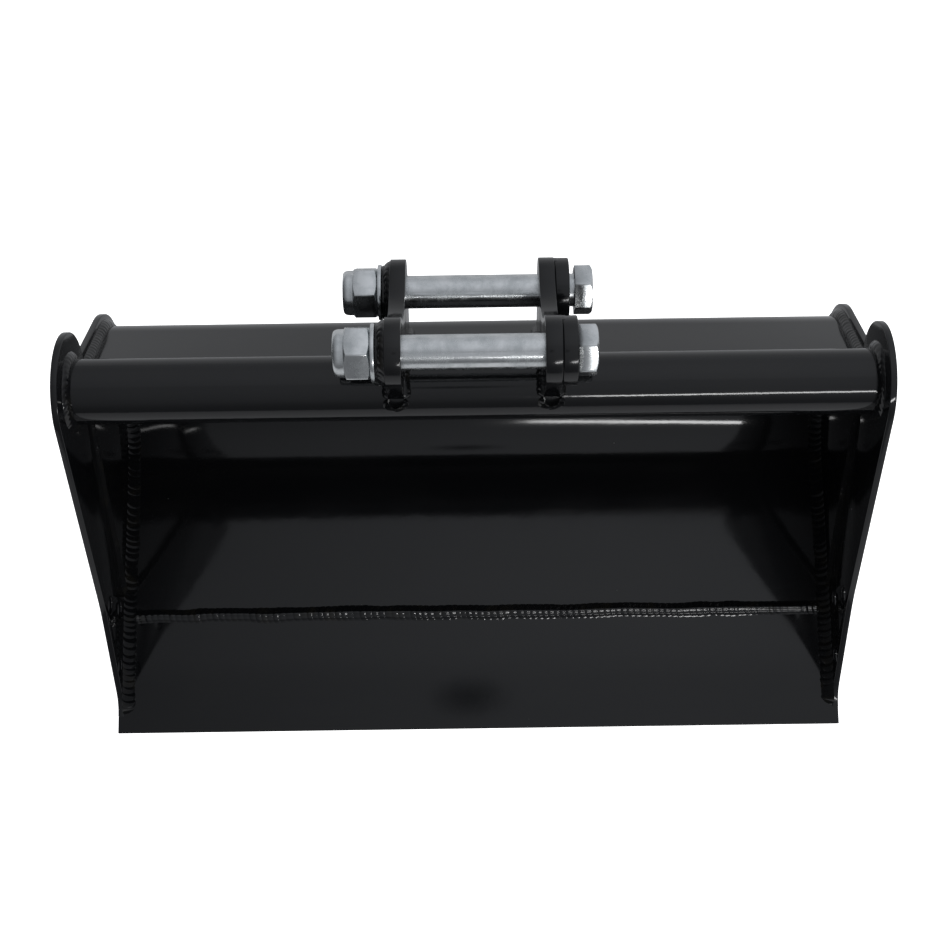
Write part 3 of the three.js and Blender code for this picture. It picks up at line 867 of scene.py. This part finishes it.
# On each side plate: inside and outside corners of the shell, round the tube, and the sloping seam.
def makeSideWelds():
    ringFrom = wallMeetsTube(wallOuter, tubeRadius) - tubeAt
    ringTo = wallMeetsTube(wallOuter - shellSize["thick"], tubeRadius) - tubeAt
    start, end = [math.atan2(point[1], point[0]) for point in (ringFrom, ringTo)]
    ring = arc(tubeAt, tubeRadius, start, end + 2 * math.pi)
    radial = np.column_stack([np.zeros(len(ring)), (ring - tubeAt) / tubeRadius])
    inner = fine(shellLine(0.0, tubeRadius + 3.0, [sideSize["toe"][0] + 2, seamY]))
    outer = fine(shellLine(-shellSize["thick"], tubeRadius + 3.0, [], math.radians(-60)))
    slope = fine(np.array([seamFootAt + (4, 4), seamHeadAt]))
    for side, sign in (("Left", -1), ("Right", 1)):
        x, inwards, node = sign * sideIn, (-sign, 0, 0), side.lower()
        runs = [("shellWeld", inner, leftOf(inner), cornerBead, flatFillet, ["shell_weld_" + node]),
                ("backWallWeld", outer, -leftOf(outer), outerBead, roundFillet, ["back_wall_weld_" + node]),
                ("tubeWeld", ring, radial, tubeBead, roundFillet, ["tube_weld_" + node]),
                ("cutterSeamWeld", slope, leftOf(slope), cutterBead, seam, [])]
        for name, line, away, size, section, stands in runs:
            bead = weldBead(alongX(line, x), away, inwards, size, section)
            addPiece(name + side, bead, "bucket", beadBlack, stands)


# Along both faces of an ear where it meets back wall and tube, and round its foot in a half circle.
def makeEarWelds():
    heel = pinAt["rear"] - wallUp * earSize["lobe"]
    heelFoot = heel + wallOut * (wallOuter - heel @ wallOut)
    wallEnd = wallMeetsTube(wallOuter, tubeRadius)
    fromTube = wallEnd - tubeAt
    onWall = fine(np.array([heelFoot, wallEnd]))
    onTube = arc(tubeAt, tubeRadius, math.atan2(fromTube[1], fromTube[0]), earSize["foot"])
    away = np.concatenate([np.broadcast_to(wallOut, onWall.shape), (onTube - tubeAt) / tubeRadius])
    away = np.column_stack([np.zeros(len(away)), away])
    line = np.concatenate([onWall, onTube])
    half = (earOut - earIn) / 2
    swing = np.linspace(0, math.pi, 25)
    around = earSize["foot"] + 0.75 * half * np.sin(swing) / tubeRadius
    foot = tubeAt + tubeRadius * np.stack([np.cos(around), np.sin(around)], 1)
    footAway = np.column_stack([np.zeros(len(around)), np.cos(around), np.sin(around)])
    footOut = np.column_stack([
        np.cos(swing), -np.sin(swing) * np.sin(around), np.sin(swing) * np.cos(around)])
    for side, sign in (("Left", -1), ("Right", 1)):
        beads = []
        for x, outwards in ((sign * earOut, sign), (sign * earIn, -sign)):
            beads.append(weldBead(alongX(line, x), away, (outwards, 0, 0), earBead, roundFillet))
        middle = sign * (earIn + earOut) / 2
        turn = np.column_stack([middle + half * np.cos(swing), foot])
        beads.append(weldBead(turn, footAway, footOut, footBead, flatFillet))
        addPiece("earWeld" + side, joined(beads), "bucket", beadBlack,
                 ["ear_weld_" + side.lower()])


# Rough fillets where the small left bosses stand on their ear, and short tacks in the right groove.
def makeBossWelds(place):
    low, high = cornersMm(place + "_boss_left")
    radius = (high[2] - low[2]) / 2
    circle = arc(pinAt[place], radius, 0, 2 * math.pi)
    radial = np.column_stack([np.zeros(len(circle)), (circle - pinAt[place]) / radius])
    ringBead = weldBead(alongX(circle, -earOut), radial, (-1, 0, 0), bossBead, roundFillet)
    addPiece(place + "BossWeldLeft", ringBead, "bucket", beadBlack)
    low, high = cornersMm(place + "_boss_right")
    radius = (high[2] - low[2]) / 2
    tacks = []
    for angle in (-150, -75, 20):
        run = arc(pinAt[place], radius - 0.4, math.radians(angle), math.radians(angle + 26))
        out = np.column_stack([np.zeros(len(run)), (run - pinAt[place]) / radius])
        tacks.append(weldBead(alongX(run, earOut + 0.4), (1, 0, 0), out, tackBead, cap))
    addPiece(place + "BossTacksRight", joined(tacks), "bucket", beadBlack)


makeSeamWeld()
makeSideWelds()
makeEarWelds()
for place in ("front", "rear"):
    makeBossWelds(place)
print("welds ready")


# Floor, light and camera.

stageSize = dict(floor=6.0, shade=(0.80, 0.80, 0.80), paler=(0.83, 0.83, 0.83), seen=1.3, glow=0.14)


# The floor glows white towards the camera only, so that its light on the bucket stays soft.
def makeStage():
    reach = stageSize["floor"]
    mesh = bpy.data.meshes.new("floor")
    corners = np.array([[-1, -1, 0], [1, -1, 0], [1, 1, 0], [-1, 1, 0]]) * reach
    mesh.from_pydata(corners, [], [[0, 1, 2, 3]])
    floor = bpy.data.objects.new("floor", mesh)
    bpy.context.scene.collection.objects.link(floor)
    material, tree, shader, where = newMaterial("floorWhite")
    shade = noiseNode(tree, where, 3.0, 2.0)
    colour = mixColours(tree, shade, stageSize["shade"], stageSize["paler"])
    tree.links.new(colour, shader.inputs["Base Color"])
    shader.inputs["Roughness"].default_value = 0.8
    shader.inputs["Specular IOR Level"].default_value = 0.1
    shader.inputs["Emission Color"].default_value = (1, 1, 1, 1)
    seen = tree.nodes.new("ShaderNodeLightPath").outputs["Is Camera Ray"]
    glow = mathNode(tree, "ADD", mathNode(tree, "MULTIPLY", seen, stageSize["seen"]), stageSize["glow"])
    tree.links.new(glow, shader.inputs["Emission Strength"])
    mesh.materials.append(material)


# A narrow lamp in front on the right draws the bright line along the tube; the rest is room light.
panels = dict(strip=dict(at=(0.53, -1.06, 1.19), aim=(0.2, 0.07, 0.2), size=(0.74, 0.10), radiance=15.0))


def makePanels():
    for name, panel in panels.items():
        light = bpy.data.lights.new(name, "AREA")
        light.shape = "RECTANGLE"
        light.size, light.size_y = panel["size"]
        light.energy = panel["radiance"] * math.pi * light.size * light.size_y
        lamp = bpy.data.objects.new(name + "Panel", light)
        lamp.location = panel["at"]
        lamp.rotation_euler = (Vector(panel["at"]) - Vector(panel["aim"])).to_track_quat("Z", "Y").to_euler()
        lamp.visible_camera = False
        bpy.context.scene.collection.objects.link(lamp)


# Room light by direction: brightness follows how far a direction points to the back, in steps
# (share of the way from front to back, brightness). It leans a little to the right and falls by
# roomSides times the square of how far a direction points sideways. The camera itself sees white.
roomSteps = [(0.0, 0.12), (0.03, 0.17), (0.076, 0.26), (0.117, 0.31), (0.213, 0.36), (0.32, 0.395),
             (0.5, 0.42), (0.54, 0.49), (0.75, 0.54), (0.894, 0.52), (1.0, 0.42)]
roomLean = 0.6
roomSides = 0.8
roomTint = (0.967, 1.0, 1.06)


def makeRoom():
    world = bpy.data.worlds.new("room")
    bpy.context.scene.world = world
    world.use_nodes = True
    tree = world.node_tree
    direction = tree.nodes.new("ShaderNodeTexCoord").outputs["Generated"]
    parts = tree.nodes.new("ShaderNodeSeparateXYZ")
    tree.links.new(direction, parts.inputs[0])
    towardsBack = mathNode(tree, "ADD", mathNode(tree, "MULTIPLY", parts.outputs["Y"], 0.5), 0.5)
    steps = [(share, tuple(bright * tint for tint in roomTint)) for share, bright in roomSteps]
    shade = rampNode(tree, towardsBack, steps)
    lean = mathNode(tree, "ADD", mathNode(tree, "MULTIPLY", parts.outputs["X"], roomLean), 1.0)
    sideways = mathNode(tree, "MULTIPLY", parts.outputs["X"], parts.outputs["X"])
    kept = mathNode(tree, "SUBTRACT", 1.0, mathNode(tree, "MULTIPLY", sideways, roomSides))
    lean = mathNode(tree, "MULTIPLY", lean, kept)
    seen = tree.nodes.new("ShaderNodeLightPath").outputs["Is Camera Ray"]
    tree.links.new(mixColours(tree, seen, shade, (1.0, 1.0, 1.0)), tree.nodes["Background"].inputs["Color"])
    tree.links.new(mathNode(tree, "MAXIMUM", lean, seen), tree.nodes["Background"].inputs["Strength"])


cameraSize = dict(at=(0.0, 7.0, 1334.0), tilt=math.radians(8.8), roll=0.014, lens=60.0)


def makeCamera():
    data = bpy.data.cameras.new("camera")
    data.lens, data.sensor_width = cameraSize["lens"], 36.0
    data.clip_end = 50.0
    camera = bpy.data.objects.new("camera", data)
    tilt, roll = cameraSize["tilt"], cameraSize["roll"]
    forward = np.array([0, math.sin(tilt), -math.cos(tilt)])
    level = np.array([1.0, 0, 0])
    upright = np.cross(level, forward)
    right = math.cos(roll) * level - math.sin(roll) * upright
    up = math.sin(roll) * level + math.cos(roll) * upright
    place = (np.array(cameraSize["at"]) + profileStart) * mm
    matrix = np.eye(4)
    matrix[:3, 0], matrix[:3, 1], matrix[:3, 2], matrix[:3, 3] = right, up, -forward, place
    camera.matrix_world = Matrix(matrix.tolist())
    bpy.context.scene.collection.objects.link(camera)
    bpy.context.scene.camera = camera
    bpy.context.scene.view_settings.view_transform = "Standard"


lensShade = dict(count=48, radius=0.12, offset=(-0.025, -0.055, 0.05), black=(0.004, 0.004, 0.004),
                 grey=(0.02, 0.02, 0.02), fade=[(0.15, 0.75), (1.0, 0.0)])


# A dark disc behind the camera, fading out to its rim, which the gloss on the cutting edge mirrors.
def makeLensShade():
    count, radius = lensShade["count"], lensShade["radius"]
    turn = np.arange(count) * 2 * math.pi / count
    mesh = bpy.data.meshes.new("lensShade")
    rim = np.column_stack([radius * np.cos(turn), radius * np.sin(turn), np.zeros(count)])
    mesh.from_pydata(rim, [], [list(range(count))[::-1]])
    disc = bpy.data.objects.new("lensShade", mesh)
    disc.location = (np.array(cameraSize["at"]) + profileStart) * mm + lensShade["offset"]
    bpy.context.scene.collection.objects.link(disc)
    material, tree, shader, where = newMaterial("lensBlack")
    shade = noiseNode(tree, where, 20.0)
    colour = mixColours(tree, shade, lensShade["black"], lensShade["grey"])
    tree.links.new(colour, shader.inputs["Base Color"])
    reach = addNode(tree, "ShaderNodeVectorMath", operation="LENGTH")
    tree.links.new(where, reach.inputs[0])
    share = mathNode(tree, "DIVIDE", reach.outputs["Value"], radius)
    fade = rampNode(tree, share, lensShade["fade"])
    tree.links.new(fade, shader.inputs["Alpha"])
    mesh.materials.append(material)


makeStage()
makePanels()
makeRoom()
makeCamera()
makeLensShade()
print("stage ready")
